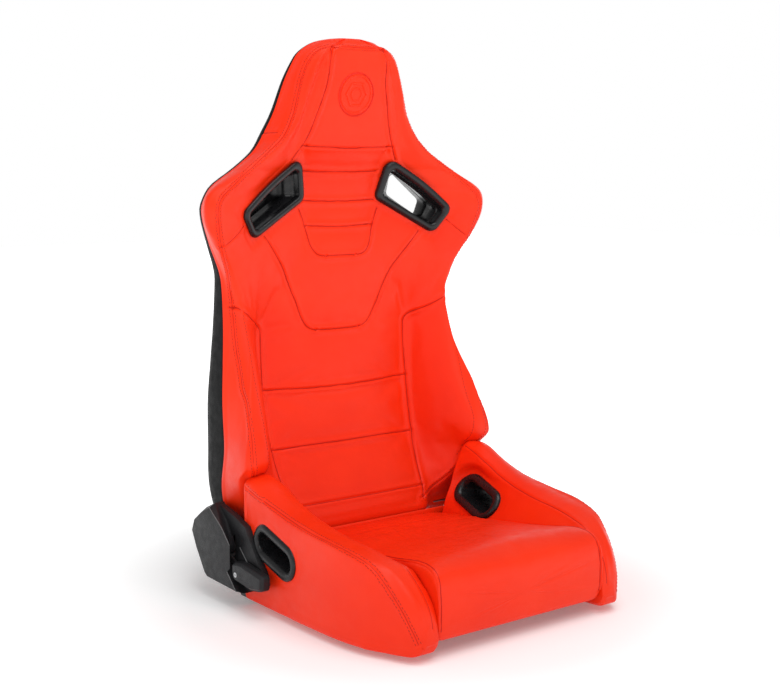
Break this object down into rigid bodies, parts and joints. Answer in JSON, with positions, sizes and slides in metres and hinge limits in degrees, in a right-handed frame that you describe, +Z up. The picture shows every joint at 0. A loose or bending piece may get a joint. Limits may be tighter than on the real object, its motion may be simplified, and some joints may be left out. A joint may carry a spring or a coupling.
{
  "type": "racing seat",
  "caption": "Reclining bucket-style racing seat with padded bolsters, shoulder wings, fixed head rest, harness and lap belt openings, moulded back shell and a side recline lever.",
  "frame": {"origin": "middle of the four mounting bosses, on the plane of their feet", "axes": "+Z up, the seat faces -Y, +X towards the side without the lever"},
  "size_m": [0.5614, 0.547, 0.886],
  "materials": {
    "red_leatherette": "satin, fine grain, tone-on-tone stitching",
    "shell_plastic": "moulded, fine texture",
    "bezel_plastic": "satin black",
    "cover_plastic": "fine moulded texture",
    "frame_steel": "black powder coat",
    "zinc_steel": "zinc plated",
    "spring_wire": "drawn wire"
  },
  "bodies": {
    "base": {"side_member_left": "frame_steel", "side_member_right": "frame_steel", "mounting_bosses": "frame_steel", "front_cross_tube": "frame_steel", "rear_cross_tube": "frame_steel", "seat_springs": "spring_wire", "seat_cushion": "red_leatherette", "base_bolster_left": "red_leatherette", "base_bolster_right": "red_leatherette", "lap_bezel_outer_left": "bezel_plastic", "lap_bezel_outer_right": "bezel_plastic", "lap_bezel_inner_left": "bezel_plastic", "lap_bezel_inner_right": "bezel_plastic", "recliner_housing_left": "zinc_steel", "recliner_housing_right": "zinc_steel", "recliner_cover_left": "cover_plastic", "recliner_cover_right": "cover_plastic", "cover_studs": "zinc_steel", "lever_return_spring": "spring_wire"},
    "lever": {"release_shaft": "zinc_steel", "recliner_cams": "zinc_steel", "lever_arm": "frame_steel", "lever_grip": "cover_plastic", "lever_screw": "zinc_steel"},
    "upper_pawl_pair": {"upper_pawls": "zinc_steel"},
    "lower_pawl_pair": {"lower_pawls": "zinc_steel"},
    "back": {"recliner_ring_left": "zinc_steel", "recliner_ring_right": "zinc_steel", "back_plate_left": "frame_steel", "back_plate_right": "frame_steel", "back_hoop": "frame_steel", "lower_cross_bar": "frame_steel", "upper_cross_bar": "frame_steel", "back_springs": "spring_wire", "lumbar_pad": "red_leatherette", "back_bolster_left": "red_leatherette", "back_bolster_right": "red_leatherette", "upper_center_pad": "red_leatherette", "shoulder_pad_left": "red_leatherette", "shoulder_pad_right": "red_leatherette", "headrest_pad": "red_leatherette", "back_shell": "shell_plastic", "shell_screws": "shell_plastic", "harness_bezel_left": "bezel_plastic", "harness_bezel_right": "bezel_plastic", "harness_duct_left": "bezel_plastic", "harness_duct_right": "bezel_plastic"}
  },
  "joints": [
    {"name": "recline", "type": "hinge", "parent": "base", "child": "back", "pos_m": [0, 0.168, 0.095], "axis": [-1, 0, 0], "range_deg": [0, 60]},
    {"name": "lever_lift", "type": "hinge", "parent": "base", "child": "lever", "pos_m": [0, 0.168, 0.095], "axis": [-1, 0, 0], "range_deg": [0, 30], "stiffness_Nm_per_rad": 1.5, "springref_deg": -22.92},
    {"name": "upper_pawl_slide", "type": "slide", "parent": "base", "child": "upper_pawl_pair", "axis": [0, 0, -1], "range_m": [0, 0.0008]},
    {"name": "lower_pawl_slide", "type": "slide", "parent": "base", "child": "lower_pawl_pair", "axis": [0, 0, 1], "range_m": [0, 0.0008]}
  ],
  "couplings": [
    {"joint": "upper_pawl_slide", "follows": "lever_lift", "m_per_rad": 0.0014},
    {"joint": "lower_pawl_slide", "follows": "lever_lift", "m_per_rad": 0.0014}
  ]
}
